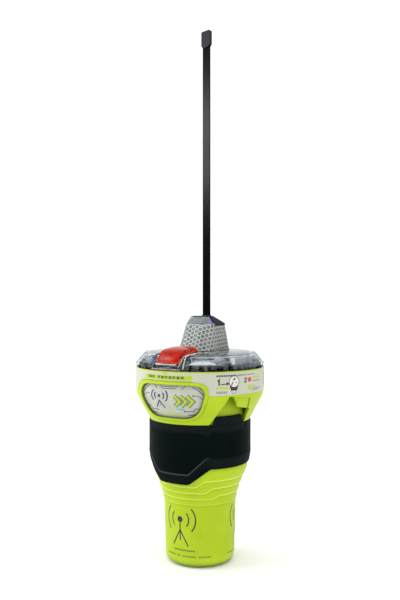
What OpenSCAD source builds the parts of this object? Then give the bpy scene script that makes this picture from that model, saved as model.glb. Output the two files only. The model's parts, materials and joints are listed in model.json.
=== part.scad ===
// Emergency position indicating radio beacon: flared head with a clear strobe lens, rubber
// grip band, tapered battery case, spring-steel whip antenna and a hinged switch cover.
// Millimetres, +Z up, origin at the centre of the foot, front (switch cover) towards -Y.

/* [Case] */
// Radius of the foot just above its rounded edge
foot_r = 28.3; // [26:0.1:30]
// Radius of the case where the flare starts
waist_r = 29.8; // [29:0.1:31]
// Height where the flare starts
flare_z0 = 48; // [44:1:50]
// Height where the flare meets the grip
flare_z1 = 78; // [76:1:80]
// Radius of the case under the grip
core_r = 39.6; // [39.4:0.1:39.8]
// Wall thickness of the case
case_wall = 2.4; // [2:0.1:2.6]

/* [Grip band] */
// Outer radius of the rubber grip
grip_r = 42.3; // [42:0.1:43]
// Height of the grip's lower edge at the sides
grip_side_z = 82; // [80:0.5:84]
// Height of the grip's lower edge at its front and rear lobes
grip_lobe_z = 69.5; // [68:0.5:72]
// Height of the bevel above either lower edge
grip_bevel = 9; // [6:0.5:9]

/* [Head] */
// Outer radius of the head
head_r = 53.2; // [53:0.1:54]
// Height of the lower edge of the skirt
skirt_z = 117.4; // [117:0.1:118]
// Radius of the skirt at its lower edge
skirt_r = 41.8; // [41.6:0.1:42.2]
// Thickness of the skirt
skirt_wall = 3.4; // [3.2:0.1:3.6]
// Height of the rim that carries the lens
rim_z = 160.2; // [160:0.1:161]
// Thickness of the rim
rim_t = 2; // [1.8:0.1:2.2]

/* [Lens] */
// Thickness of the lens
lens_wall = 2.2; // [2:0.1:2.4]
// Height of the lens shoulder above the rim
lens_h = 11.8; // [11.5:0.1:12]
// Height of the top of the dome
dome_z = 201.5; // [200:0.5:203]

/* [Switches] */
// Travel of both buttons
button_travel = 0.9; // [0.6:0.1:0.9]
// Radius of the on button
on_r = 4.5; // [4:0.1:4.6]
// Radius of the test button
test_r = 3.5; // [3:0.1:3.6]

/* [Antenna] */
// Width of the antenna blade
blade_w = 7; // [6.6:0.1:7.2]
// Thickness of the antenna blade
blade_t = 1.2; // [1:0.1:1.4]
// Height of the antenna tip
tip_z = 443; // [420:1:460]

/* [Battery] */
// Radius of one cell
cell_r = 11.5; // [11:0.1:11.8]
// Length of one cell
cell_h = 50; // [46:1:52]

/* [Hidden] */
$fn = 72;
gap = 0.1;              // clearance between fixed pieces
run = 0.06;             // radial clearance of a running fit
far = 90;               // further out than anything on the body

// case
flare_power = 1.54;
case_top_z = 96;        // shoulder where the two cases meet
spigot_r = 37;
spigot_z = 110;
seal_z = 104;
seal_r = 0.75;
core_in = 36.6;
socket_in = spigot_r + gap;

// grip
grip_top_z = 123.8;     // top of the tabs that rise into the side recesses
side_shoulder_z = grip_side_z + grip_bevel;
lobe_az = -1;           // the lobes sit slightly round from the front and the rear
lobe_lip_r = 39.7;      // radius of a lobe at its lower edge
lobe_hw = 13.4;         // half width of a lobe along its lower edge

// head
arc_r = 18;             // radius that blends the skirt's cone into the vertical wall
arc_z = 143.5;
skirt_tilt = 28.2;      // angle of the skirt's cone from vertical
shroud_top_z = rim_z - rim_t - gap;
wall_out = 49.6;        // upper case wall inside the shroud
wall_in = 47.2;
recess_az = 65;
recess_core_r = core_r + 0.2;
contact_az = [166, 194];
contact_z = 134;
badge_depth = 2.2;
badge_t = 0.6;
label_t = 0.25;
label_z0 = 142;
label_z1 = 157.8;

// lens
lens_z = rim_z + lens_h;
lens_shoulder_r = 46;
lens_wall_z = rim_z + 3.4;
lens_top_z = lens_z + 0.8;
flange_t = 1.4;
screw_r = 47;           // pitch radius of the lens screws
screw_az = [-120, -60, 60, 120];
boss_pitch = 45.6;
boss_r = 3.8;
pocket_hw = 12.2;
pocket_y0 = -24.5;
pocket_y1 = -44.5;
pocket_z = 166.5;
step_z = 164.4;

// dome at its root and its shoulder: half width, front, rear, corner cut along X, front cut along Y
dome_root_z = lens_z - 3;
dome_foot = [17.2, -19.6, 32.6, 8.2, 11];
dome_shoulder = [13.6, -9, 27, 6.2, 8.6];
dome_shoulder_z = 195;
cap_y = 2;              // front face of the antenna cap
cap_z = 193.5;          // underside of the antenna cap

// switch cover
hinge_y = -21.5;
hinge_z = 175.3;
knuckle_r = 2.2;
hinge_pin_r = 0.8;
cover_hw = 10.2;
lug_hw = 3.3;
on_y = -39;
test_y = -29;
mat_t = 1.2;

// antenna
pivot_y = 10.5;
pivot_z = 197.2;
pivot_r = 3;
pivot_pin_r = 1.2;
slot_hw = blade_w / 2 + 0.4;
feed_y = 21.4;
tip_h = 15;
tip_w = 8.4;
tip_t = 3.6;

// boards
deck_z = 149.3;         // top of the chassis plate
led_board_z = 157.4;
post_az = [45, 135, 225, 315];
board_t = 1.6;
switch_board_z = 160;

// ---- profiles -------------------------------------------------------------------------

function flare_t(z) = max(0, min(1, (z - flare_z0) / (flare_z1 - flare_z0)));

// Radius of the outside of the cases at height z
function case_r(z) = z < flare_z0
    ? foot_r + (waist_r - foot_r) * z / flare_z0
    : waist_r + (core_r - waist_r) * pow(flare_t(z), flare_power);

// Radius of the outside of the head at height z: cone, blend arc, vertical wall
function head_at(z) =
    let (tangent_z = arc_z - arc_r * sin(skirt_tilt),
         tangent_r = head_r - arc_r * (1 - cos(skirt_tilt)))
    z < tangent_z ? skirt_r + (tangent_r - skirt_r) * (z - skirt_z) / (tangent_z - skirt_z)
    : z < arc_z ? head_r - arc_r + sqrt(arc_r * arc_r - (arc_z - z) * (arc_z - z))
    : head_r;

head_steps = [skirt_z, for (i = [0:5]) 135 + i * 1.7, shroud_top_z];
flare_steps = [for (i = [0:10]) flare_z0 + (flare_z1 - flare_z0) * i / 10];

// Band between two radial insets of the head's outside, from height z0 to z1
function head_band(inset_out, inset_in, z0 = skirt_z, z1 = shroud_top_z) =
    let (zs = [z0, for (z = head_steps) if (z > z0 && z < z1) z, z1])
    concat([for (z = zs) [head_at(z) - inset_out, z]],
           [for (i = [len(zs) - 1:-1:0]) [head_at(zs[i]) - inset_in, zs[i]]]);

function lerp(a, b, t) = a + (b - a) * t;

// Octagon of the dome at height z, shrunk by inset
function dome_section(z, inset = 0) =
    let (t = (z - dome_root_z) / (dome_shoulder_z - dome_root_z),
         d = [for (i = [0:4]) lerp(dome_foot[i], dome_shoulder[i], t)],
         a = d[0] - inset, y0 = d[1] + inset, y1 = d[2] - inset,
         c = d[3] - inset * 0.55, f = d[4] - inset * 0.55)
    [[-a, y0 + f], [c - a, y0], [a - c, y0], [a, y0 + f],
     [a, y1 - f], [a - c, y1], [c - a, y1], [-a, y1 - f]];

// Outline of the front window, grown by d, as [x, z] points with rounded corners
window_z = 136.2;
window_w = 29.9;
window_h = 13.8;
window_x = 2;            // middle of the window from the front line
window_lean = 0.1;       // how far it leans towards +X as it rises
window_corners = [[24.9, 13.6], [29.9, 6.8], [25, -7.2], [17, -13.8]];
function window_at(x, z) = [x + window_x + window_lean * z, window_z + z];
function window_ring(d) =
    let (sx = 1 + d / window_w, sz = 1 + d / window_h)
    concat([for (p = window_corners) window_at(p[0] * sx, p[1] * sz)],
           [for (i = [3:-1:0]) window_at(-window_corners[i][0] * sx, window_corners[i][1] * sz)]);
function unit(v) = v / norm(v);
// Each corner becomes a quadratic curve that starts and ends at distance r from it
function rounded(pts, r, n = 5) =
    [for (i = [0:len(pts) - 1])
        let (p = pts[i], a = pts[(i + len(pts) - 1) % len(pts)], b = pts[(i + 1) % len(pts)],
             s = p + unit(a - p) * min(r, norm(a - p) * 0.45),
             e = p + unit(b - p) * min(r, norm(b - p) * 0.45))
        for (k = [0:n]) let (t = k / n) s * (1 - t) * (1 - t) + 2 * p * t * (1 - t) + e * t * t];

// Lower edge of the head beside each recess, as [distance round, height] at recess_az
recess_edge = [[-19.7, 110], [-7, 140.4], [-2.4, 140.4], [4, 131.4], [18.3, 128.6], [16.9, 110]];

// ---- helpers --------------------------------------------------------------------------

module revolve(points) rotate_extrude() polygon(points);

module around(azimuths) for (a = azimuths) rotate([0, 0, a]) children();

// Prism with an [across, height] outline, pushed outwards along -Y from y = -r0
module outward(points, r0 = 0, r1 = far)
    translate([0, -r0, 0]) rotate([90, 0, 0]) linear_extrude(r1 - r0) polygon(points);

module both_sides() {
    children();
    mirror([1, 0, 0]) children();
}

// Cylinder along Y from y0 to y1
module along_y(r, x, z, y0, y1)
    translate([x, max(y0, y1), z]) rotate([90, 0, 0]) cylinder(r = r, h = abs(y1 - y0));

// Cylinder along X, centred
module along_x(r, half, y, z)
    translate([-half, y, z]) rotate([0, 90, 0]) cylinder(r = r, h = 2 * half);

module block(x0, x1, y0, y1, z0, z1) translate([x0, y0, z0]) cube([x1 - x0, y1 - y0, z1 - z0]);

// ---- case -----------------------------------------------------------------------------

module lower_case() color("yellowgreen") difference() {
    revolve(concat(
        [[0, 0]],
        [for (i = [0:6]) let (a = i * 15) [foot_r - 6.6 + 6.6 * sin(a), 5.8 - 5.8 * cos(a)]],
        [for (z = flare_steps) [case_r(z), z]],
        [[core_r, case_top_z], [spigot_r, case_top_z], [spigot_r, spigot_z],
            [spigot_r - case_wall, spigot_z],
            [spigot_r - case_wall, 94], [core_r - 2.8, 90]],
        [for (i = [10:-1:0]) [case_r(flare_steps[i]) - case_wall - 0.6, flare_steps[i]]],
        [[foot_r - case_wall - 0.1, 8], [21.6, case_wall], [0, case_wall]]));
    rotate_extrude() translate([spigot_r - 1.5, seal_z - 1]) square([2, 2]);
    around([45, 135, 225, 315]) along_y(1.2, 0, 99, -20, -far);
}

module upper_case() color("yellowgreen") difference() {
    union() {
        revolve([[socket_in, case_top_z], [core_r, case_top_z], [core_r, 139], [44, 142.5], [wall_out, 145],
            [wall_out, rim_z - rim_t], [head_r + 0.1, rim_z - rim_t], [head_r + 0.1, rim_z],
            [wall_in, rim_z], [wall_in, 147.2], [41.5, 144.8], [core_in, 141], [core_in, 112],
            [socket_in, 111]]);
        around(screw_az) translate([0, -boss_pitch, 147]) cylinder(r = boss_r, h = rim_z - 147);
        around(contact_az) along_y(3.2, 0, contact_z, -37.5, -48.8);
    }
    rotate_extrude() translate([51.1, rim_z - 1.1]) square([1.5, 2]);
    around(screw_az) translate([0, -screw_r, 149]) cylinder(r = 1.2, h = 20);
    around([45, 135, 225, 315]) {
        along_y(1.4, 0, 99, -20, -far);
        along_y(2.3, 0, 99, -38.4, -far);
    }
    around(contact_az) along_y(1.5, 0, contact_z, -20, -far);
}

module case_seal() color("black")
    rotate_extrude() translate([spigot_r - 0.7, seal_z]) circle(r = seal_r, $fn = 24);

module case_screws() color("silver") around([45, 135, 225, 315]) {
    along_y(1.2, 0, 99, -35, -39);
    along_y(2.2, 0, 99, -38.5, -39.4);
}

module grip_band() color("#1c1f20") difference() {
    union() {
        revolve([[core_r - 2, grip_side_z], [core_r + 0.7, grip_side_z], [grip_r, side_shoulder_z],
            [grip_r, skirt_z - gap], [core_r - 2, skirt_z - gap]]);
        intersection() {
            revolve([[case_r(grip_lobe_z) - 3, grip_lobe_z], [lobe_lip_r, grip_lobe_z],
                [40.9, grip_lobe_z + grip_bevel], [grip_r - 0.2, side_shoulder_z - 1],
                [core_r - 1, side_shoulder_z - 1]]);
            around([lobe_az, lobe_az + 180]) outward([for (side = [-1, 1], end = [side, -side])
                [end * (lobe_hw + 1.2 * (side < 0 ? -3.5 : 23)), grip_lobe_z + (side < 0 ? -3.5 : 23)]]);
        }
        intersection() {
            revolve([[core_r - 2, skirt_z - 1], [grip_r - 0.6, skirt_z - 1], [grip_r - 0.6, grip_top_z],
                [core_r - 2, grip_top_z]]);
            both_sides() rotate([0, 0, recess_az + 2.5])
                outward([[-16.4, 110], [-11.3, 126], [15, 126], [13.6, 110]]);
        }
    }
    revolve(concat([[0, 60]], [for (z = [60, for (s = flare_steps) if (s > 60) s]) [case_r(z) + 0.05, z]],
        [[core_r + 0.05, 130], [0, 130]]));
}

// ---- head -----------------------------------------------------------------------------

module recess_cut() both_sides() rotate([0, 0, recess_az]) outward(recess_edge, 20);

// Shallow panel above the rear half of each recess
module hood_cut() both_sides() intersection() {
    revolve(head_band(-far, 0.8, 120, 142));
    rotate([0, 0, recess_az])
        outward([[-0.4, 139.6], [14.6, 138], [16.6, 128], [5, 126]], 20);
}

module head_shroud() color("yellowgreen") difference() {
    union() {
        revolve(head_band(0, skirt_wall));
        intersection() {
            revolve(head_band(-0.6, 1));
            outward(rounded(window_ring(2.4), 8), 20);
        }
    }
    cylinder(r = core_r + 0.3, h = 300);
    recess_cut();
    hood_cut();
    intersection() {
        revolve(head_band(-far, badge_depth));
        outward(rounded(window_ring(0), 7), 20);
    }
    around(contact_az) along_y(3.3, 0, contact_z, -20, -far);
}

module front_badge() color("whitesmoke") intersection() {
    revolve(head_band(badge_depth - badge_t, badge_depth));
    outward(rounded(window_ring(-gap), 7), 20);
}

module rim_label() color("white") difference() {
    rotate([0, 0, 100]) rotate_extrude(angle = 340)
        polygon([[head_r, label_z0], [head_r + label_t, label_z0],
            [head_r + label_t, label_z1], [head_r, label_z1]]);
    outward(rounded(window_ring(3.6), 9), 20);
}

module rear_label() color("white") intersection() {
    revolve(head_band(-label_t, 0, 120, 131));
    rotate([0, 0, 180]) outward(rounded([[-15, 121.2], [15, 121.2], [15, 129.8], [-15, 129.8]], 1.5), 20);
}

module water_contacts() color("silver") around(contact_az) {
    along_y(1.5, 0, contact_z, -34.5, -50);
    along_y(3, 0, contact_z, -48.8, -51.2);
}

// ---- lens -----------------------------------------------------------------------------

module dome_solid(inset = 0) hull() {
    translate([0, 0, dome_root_z])
        linear_extrude(0.1) polygon(rounded(dome_section(dome_root_z, inset), 3));
    translate([0, 0, dome_shoulder_z - inset * 0.5])
        linear_extrude(0.1) polygon(rounded(dome_section(dome_shoulder_z - inset * 0.5, inset), 3));
    translate([0, 0, dome_z - inset - 0.1])
        linear_extrude(0.1) polygon(rounded(
            [[-7.4, -2.4], [7.4, -2.4], [8.4, 2], [8.4, 8], [-8.4, 8], [-8.4, 2]], 1.5));
    translate([0, 0, dome_z - inset - 4])
        linear_extrude(0.1) polygon(rounded([[-8, 17], [8, 17], [6.4, 22.5], [-6.4, 22.5]], 1.5));
}

module lens_outside() revolve([
    [0, rim_z], [head_r, rim_z], [head_r, lens_wall_z], [lens_shoulder_r, lens_z],
    [20, lens_top_z], [0, lens_top_z]]);

module lens_inside() revolve([
    [0, rim_z - 1], [lens_shoulder_r, rim_z - 1], [lens_shoulder_r, rim_z + flange_t],
    [head_r - lens_wall, rim_z + flange_t], [head_r - lens_wall, lens_wall_z - 0.6],
    [lens_shoulder_r - 1, lens_z - lens_wall], [20, lens_top_z - lens_wall], [0, lens_top_z - lens_wall]]);

// Front pocket for the switches; grow makes it the outside of the pocket's wall
module switch_pocket(grow = 0) {
    block(-pocket_hw - grow, pocket_hw + grow, pocket_y1 - grow, pocket_y0 + grow, pocket_z - grow, 190);
    block(-pocket_hw - grow, pocket_hw + grow, -60, pocket_y1 + 0.1, step_z - grow, 190);
}

module lens() color("lightgrey", 0.4) difference() {
    union() {
        difference() {
            union() {
                lens_outside();
                dome_solid();
            }
            difference() {
                union() {
                    lens_inside();
                    dome_solid(lens_wall);
                }
                switch_pocket(lens_wall);
                around(screw_az) translate([0, -screw_r, rim_z]) cylinder(r = 4.6, h = 20);
                block(-20, 20, cap_y - 2, 40, cap_z - 2, 210);
            }
        }
        block(-lug_hw, lug_hw, hinge_y - 2, -19, lens_z - 0.5, hinge_z);
        along_x(2, lug_hw, hinge_y, hinge_z);
    }
    switch_pocket();
    around(screw_az) {
        translate([0, -screw_r, rim_z + 3]) cylinder(r = 3.2, h = 20);
        translate([0, -screw_r, rim_z - 1]) cylinder(r = 1.5, h = 20);
    }
    block(-20, 20, cap_y, 40, cap_z, 210);
    translate([0, feed_y, 170]) cylinder(r = 1.1, h = 30);
    along_x(hinge_pin_r, 20, hinge_y, hinge_z);
    translate([0, on_y, 150]) cylinder(r = on_r + 0.6, h = 30);
    translate([0, test_y, 150]) cylinder(r = test_r + 0.6, h = 30);
}

module lens_seal() color("black")
    rotate_extrude() translate([51.85, rim_z - 0.55]) circle(r = 0.54, $fn = 24);

module lens_screws() color("silver") around(screw_az) translate([0, -screw_r, 0]) difference() {
    union() {
        translate([0, 0, 151]) cylinder(r = 1.2, h = rim_z + 4 - 151);
        translate([0, 0, rim_z + 3]) cylinder(r = 2.6, h = 2.4);
    }
    translate([0, 0, rim_z + 4]) cylinder(r = 1.3, h = 3, $fn = 6);
}

module deck_ring() color("#17191b") difference() {
    revolve([[48.4, rim_z + flange_t], [50.7, rim_z + flange_t], [50.7, 162.8],
        [49.2, 164.4], [48.4, 164.4]]);
    around(screw_az) translate([0, -screw_r, 150]) cylinder(r = 5, h = 30);
    block(-pocket_hw - 2.6, pocket_hw + 2.6, -60, -20, 150, 190);
}

module reflector_tray() color("white") difference() {
    revolve([[24, 162.2], [44, 162.2], [48.2, 164], [48.2, 165], [43.6, 163.4], [24, 163.4]]);
    both_sides() translate([dish_x, dish_y, 150]) cylinder(r = 10.7, h = 30);
    around(screw_az) translate([0, -screw_r, 150]) cylinder(r = 4.8, h = 30);
    block(-pocket_hw - 2.4, pocket_hw + 2.4, -60, -15, 150, 190);
}

module reflector_film() color("gainsboro") difference() {
    dome_ring(lens_wall + 0.15, 174, 193);
    dome_ring(lens_wall + 0.75, 173, 194);
    block(-30, 30, cap_y - 2.2, 60, cap_z - 2.2, 210);
}

module dome_ring(inset, z0, z1) hull() {
    translate([0, 0, z0]) linear_extrude(0.01) polygon(rounded(dome_section(z0, inset), 3));
    translate([0, 0, z1]) linear_extrude(0.01) polygon(rounded(dome_section(z1, inset), 3));
}

dish_x = 14.5;
dish_y = -16;
dish_z = led_board_z + board_t;
module strobe_dishes() color("white") both_sides() translate([dish_x, dish_y, dish_z])
    revolve([[0, 0], [6, 0], [10.5, 3.9], [10.5, 4.4], [9.8, 4.4], [5.6, 0.9], [0, 0.9]]);

module strobe_leds() color("khaki") both_sides() translate([dish_x, dish_y, dish_z + 0.9]) {
    translate([-2.5, -2.5, 0]) cube([5, 5, 0.8]);
    translate([0, 0, 0.8]) cylinder(r = 1.9, h = 0.7);
}

module strobe_modules() color("#202224") both_sides() {
    block(7, 22.5, -5.3, -3, dish_z, 168.2);
    block(9, 11, -3.1, -2.3, 164, 167);
}

module infrared_led() color("#3a2030") translate([0, 40.5, 163.4]) {
    cylinder(r = 2.9, h = 1);
    translate([0, 0, 1]) cylinder(r = 2.5, h = 1.6);
}

module led_board() color("darkgreen") difference() {
    translate([0, 0, led_board_z]) cylinder(r = 41.4, h = board_t);
    translate([0, 6, 150]) cylinder(r = 7, h = 20);
    around(post_az) translate([0, -38, 150]) cylinder(r = 1.3, h = 20);
}

module led_board_screws() color("silver") around(post_az) translate([0, -38, 0]) {
    translate([0, 0, 152]) cylinder(r = 1.2, h = led_board_z + board_t - 152);
    translate([0, 0, led_board_z + board_t]) cylinder(r = 2.3, h = 1.2);
}

module led_board_posts() color("silver") around(post_az) translate([0, -38, deck_z]) difference() {
    cylinder(r = 2.6, h = led_board_z - deck_z);
    translate([0, 0, 2]) cylinder(r = 1.2, h = 20);
}

module gps_antenna() color("tan") {
    block(-8.5, 8.5, 0, 17, 181.6, 185.6);
    block(-7, 7, 1.5, 15.5, 185.6, 185.8);
}

module gps_board() color("darkgreen") {
    block(-9.5, 9.5, -2, 19, 180, 181.6);
    for (x = [-7.5, 7.5], y = [0.5, 16]) translate([x, y, led_board_z + board_t])
        cylinder(r = 1.6, h = 180 - led_board_z - board_t);
}

// ---- inside ---------------------------------------------------------------------------

module chassis() color("dimgrey") difference() {
    union() {
        translate([0, 0, deck_z - 2]) cylinder(r = 46.8, h = 2);
        both_sides() block(28.6, 32.2, -5, 8.8, 77, deck_z - 1);
        translate([0, 0, 76]) cylinder(r = 30.8, h = 2);
    }
    translate([0, 0, 60]) cylinder(r = 25, h = 30);
    translate([0, 0, 140]) cylinder(r = 16, h = 20);
    around(screw_az) translate([0, -boss_pitch, 140]) cylinder(r = boss_r + 0.2, h = 20);
    both_sides() block(28, 30.6, 2.9, 4.7, 78.6, deck_z - 2);
    both_sides() for (z = [84, 138]) along_y(1.1, 30.9, z, -9, 12);
}

module main_board() color("darkgreen") difference() {
    block(-30.5, 30.5, 3, 4.6, 79, 146);
    both_sides() for (z = [84, 138]) along_y(1.3, 30.9, z, -9, 12);
}

module board_screws() color("silver") both_sides() for (z = [84, 138]) {
    along_y(1.1, 30.9, z, -2, 9);
    along_y(1.9, 30.9, z, 9, 10.2);
}

module rf_shield() color("silver") difference() {
    block(-22, 10, 4.6, 9, 96, 134);
    block(-21.5, 9.5, 4, 8.5, 96.5, 133.5);
}

module reed_switch() color("lightcyan") {
    translate([14, 7, 120]) cylinder(r = 1.2, h = 14);
    for (z = [119.4, 133.4]) block(13.5, 14.5, 4.6, 7.5, z, z + 0.8);
}

cell_pitch = cell_r * 2 / sqrt(3) + 0.25;
module battery_cells() color("royalblue") around([0, 120, 240]) translate([0, -cell_pitch, 8]) {
    cylinder(r = cell_r, h = cell_h);
    translate([0, 0, cell_h]) cylinder(r = 4, h = 1.4);
}

module battery_tray() color("dimgrey") difference() {
    union() {
        translate([0, 0, 5.6]) cylinder(r1 = 22.6, r2 = 24.4, h = 3);
        translate([0, 0, 8.6]) cylinder(r = 24.4, h = 5);
    }
    around([0, 120, 240]) translate([0, -cell_pitch, 8]) cylinder(r = cell_r + 0.05, h = 20);
}

module battery_cap() color("dimgrey") difference() {
    translate([0, 0, 54]) cylinder(r = 25, h = 8.6);
    around([0, 120, 240]) translate([0, -cell_pitch, 40]) cylinder(r = cell_r + 0.05, h = 18);
    around([0, 120, 240]) translate([0, -cell_pitch, 40]) cylinder(r = 4.1, h = 19.5);
    for (x = [-4, 4]) translate([x, 7, 60]) cylinder(r = 0.8, h = 20);
}

module battery_pad() color("black") translate([0, 0, case_wall]) cylinder(r = 20.5, h = 5.6 - case_wall);

// Two leads that rise from the battery cap to the plug on the main board
module battery_lead() color("red") for (x = [-4, 4]) translate([x, 7, 60.4]) cylinder(r = 0.75, h = 19.6);

module battery_plug() color("ivory") difference() {
    block(-6.5, 6.5, 4.6, 9.4, 79.4, 85);
    for (x = [-4, 4]) translate([x, 7, 70]) cylinder(r = 0.75, h = 10);
}

// ---- switches -------------------------------------------------------------------------

module keypad_mat() color("#2b2d30") difference() {
    block(-8.2, 8.2, -44.2, -24.8, pocket_z, pocket_z + mat_t);
    translate([0, on_y, 160]) cylinder(r = on_r + run, h = 20);
    translate([0, test_y, 160]) cylinder(r = test_r + run, h = 20);
}

// Cap with a flange that keeps it under the floor of the pocket
module button(y, r) translate([0, y, pocket_z - lens_wall - 0.3]) {
    cylinder(r = r, h = 5.5);
    translate([0, 0, -0.8]) cylinder(r = r + 0.6, h = 0.8);
}

module on_button() color("red") button(on_y, on_r);

module test_button() color("green") button(test_y, test_r);

module switch_board() color("darkgreen") {
    block(-8, 8, -44, -24.6, switch_board_z, switch_board_z + 1.2);
    for (x = [-6, 6], y = [-27, -34]) translate([x, y, dish_z])
        cylinder(r = 1.4, h = switch_board_z - dish_z);
}

module dome_switches() color("silver") for (y = [on_y, test_y])
    translate([0, y, switch_board_z + 1.2]) cylinder(r1 = 2.8, r2 = 1.4, h = 1);

module status_leds() color("aqua") for (x = [-7.6, 7.6])
    translate([x * 0.85, -34, switch_board_z + 1.2]) cylinder(r = 0.9, h = 1.2);

cover_outer = [[-24.4, 177.4], [-40, 176.2], [-44.5, 174.4], [-47.8, 170.6], [-49.4, 165.2], [-45.2, 165.2],
    [-45, 167.4], [-25, 167.4], [-25, 173]];

// Prism with a [y, height] outline, across the front from x = -hw to hw
module across(points, hw) translate([-hw, 0, 0]) rotate([90, 0, 90]) linear_extrude(2 * hw) polygon(points);

module switch_cover() color("red") difference() {
    union() {
        across(cover_outer, cover_hw);
        both_sides() {
            translate([lug_hw + 0.3, hinge_y, hinge_z]) rotate([0, 90, 0])
                cylinder(r = knuckle_r, h = cover_hw - lug_hw - 0.3);
            block(lug_hw + 0.3, cover_hw, -25, hinge_y, hinge_z, hinge_z + knuckle_r);
        }
    }
    across([[-23, 175.4], [-39.6, 174.3], [-43.4, 172.8], [-46.2, 169.6], [-47.6, 164], [-44, 160],
        [-23, 160]], cover_hw - 1.7);
    along_x(hinge_pin_r + run, 20, hinge_y, hinge_z);
}

module cover_pin() color("silver") along_x(hinge_pin_r, cover_hw - 0.2, hinge_y, hinge_z);

// ---- antenna --------------------------------------------------------------------------

module antenna_cap() color("#202224") difference() {
    intersection() {
        dome_solid();
        block(-20, 20, cap_y, 40, cap_z, 210);
    }
    block(-slot_hw, slot_hw, pivot_y - pivot_r - 0.3, 40, pivot_z - 2, 210);
    along_x(pivot_r + 0.3, slot_hw, pivot_y, pivot_z);
    along_x(pivot_pin_r, slot_hw + 3, pivot_y, pivot_z);
}

module antenna_pin() color("silver") along_x(pivot_pin_r, slot_hw + 3, pivot_y, pivot_z);

module antenna_root() color("#202224") difference() {
    union() {
        along_x(pivot_r, blade_w / 2 + 0.1, pivot_y, pivot_z);
        block(-blade_w / 2 - 0.1, blade_w / 2 + 0.1, pivot_y - 1.6, pivot_y + 1.6, pivot_z, pivot_z + 5);
    }
    along_x(pivot_pin_r + run, 10, pivot_y, pivot_z);
    block(-blade_w / 2, blade_w / 2, pivot_y - blade_t / 2, pivot_y + blade_t / 2,
        pivot_z + 2, pivot_z + 8);
}

module antenna_blade() color("#111315")
    block(-blade_w / 2, blade_w / 2, pivot_y - blade_t / 2, pivot_y + blade_t / 2, pivot_z + 2, tip_z - 3);

module antenna_tip() color("#1a1d20") difference() {
    translate([0, pivot_y + tip_t / 2, 0]) rotate([90, 0, 0]) linear_extrude(tip_t)
        polygon([[-tip_w / 2 + 1.6, tip_z - tip_h], [tip_w / 2 - 1.6, tip_z - tip_h + 1],
            [tip_w / 2, tip_z - tip_h + 3.4], [tip_w / 2, tip_z - 0.7], [tip_w / 2 - 0.7, tip_z],
            [-tip_w / 2 + 0.8, tip_z - 0.9], [-tip_w / 2, tip_z - 1.7], [-tip_w / 2, tip_z - tip_h + 2]]);
    block(-blade_w / 2, blade_w / 2, pivot_y - blade_t / 2, pivot_y + blade_t / 2, tip_z - 20, tip_z - 3);
}

module antenna_feed() color("gold") translate([0, feed_y, dish_z]) cylinder(r = 1, h = cap_z - dish_z);

// ---- nodes ----------------------------------------------------------------------------

lower_case();
upper_case();
case_seal();
case_screws();
grip_band();
head_shroud();
front_badge();
rim_label();
rear_label();
lens();
lens_seal();
lens_screws();
deck_ring();
reflector_tray();
reflector_film();
strobe_dishes();
strobe_leds();
strobe_modules();
infrared_led();
led_board();
led_board_screws();
led_board_posts();
gps_antenna();
gps_board();
chassis();
main_board();
board_screws();
rf_shield();
reed_switch();
battery_cells();
battery_tray();
battery_cap();
battery_pad();
battery_lead();
battery_plug();
water_contacts();
keypad_mat();
switch_board();
dome_switches();
status_leds();
on_button();
test_button();
switch_cover();
cover_pin();
antenna_cap();
antenna_pin();
antenna_root();
antenna_blade();
antenna_tip();
antenna_feed();
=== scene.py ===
"""Looks of the emergency position beacon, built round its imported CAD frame."""
import json
import math

import bmesh
import bpy
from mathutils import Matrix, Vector
from mathutils.bvhtree import BVHTree
from mathutils.geometry import barycentric_transform


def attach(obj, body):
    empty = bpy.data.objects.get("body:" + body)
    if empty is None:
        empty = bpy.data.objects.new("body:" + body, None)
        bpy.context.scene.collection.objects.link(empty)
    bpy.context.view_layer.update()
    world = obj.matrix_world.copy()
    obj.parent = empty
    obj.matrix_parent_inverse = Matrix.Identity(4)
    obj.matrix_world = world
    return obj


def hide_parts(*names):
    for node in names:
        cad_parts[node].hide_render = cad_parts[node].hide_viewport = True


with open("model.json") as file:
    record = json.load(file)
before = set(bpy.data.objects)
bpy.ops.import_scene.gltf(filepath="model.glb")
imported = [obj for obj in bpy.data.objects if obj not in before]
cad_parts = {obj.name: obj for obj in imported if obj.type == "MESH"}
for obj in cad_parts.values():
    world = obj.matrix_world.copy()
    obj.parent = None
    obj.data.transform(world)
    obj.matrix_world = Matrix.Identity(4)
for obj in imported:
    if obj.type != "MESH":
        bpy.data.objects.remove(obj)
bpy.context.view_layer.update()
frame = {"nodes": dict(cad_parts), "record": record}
MM = 0.001
scene = bpy.context.scene


# ---- sizes in millimetres, equal or close to the CAD's ---------------------------------

FOOT_R = 28.3               # case above its rounded foot
FOOT_ROUND = (6.6, 5.8)     # rounding of the foot, across and up
FLARE_R, FLARE_Z = 29.8, 48  # case where its flare begins
FLARE_H, FLARE_POWER = 30, 1.54
CORE_R = 39.6               # straight part of the case, under the grip
CASE_TOP_Z = 96
SPIGOT_R, SPIGOT_Z, SPIGOT_IN = 37, 110, 34.6
FLOOR_Z = 3                 # inside of the case's bottom
GRIP_R = 42.25
GRIP_LOW_Z = 69.8           # lower edge of the grip at its lobes
GRIP_SIDE_Z = 82.4          # and at its sides
HEAD_R = 53.2
SKIRT_R, SKIRT_Z = 41.8, 117.4
SKIRT_TILT = 28.2           # angle of the skirt from upright
ARC_R, ARC_Z = 18, 143.5    # arc between the skirt and the upright wall
WINDOW_X, WINDOW_Z, WINDOW_LEAN = 2, 136.2, 0.1
LABEL_R = 53.32
LABEL_TOP_Z = 159.3
PRINT_LIFT = 0.05           # print stands this far off its surface
DOME_Z0, DOME_Z1 = 169, 195  # root and shoulder of the dome
FILM_INSET = 0.75           # film inside the dome's outline


# ---- materials -------------------------------------------------------------------------

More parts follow.
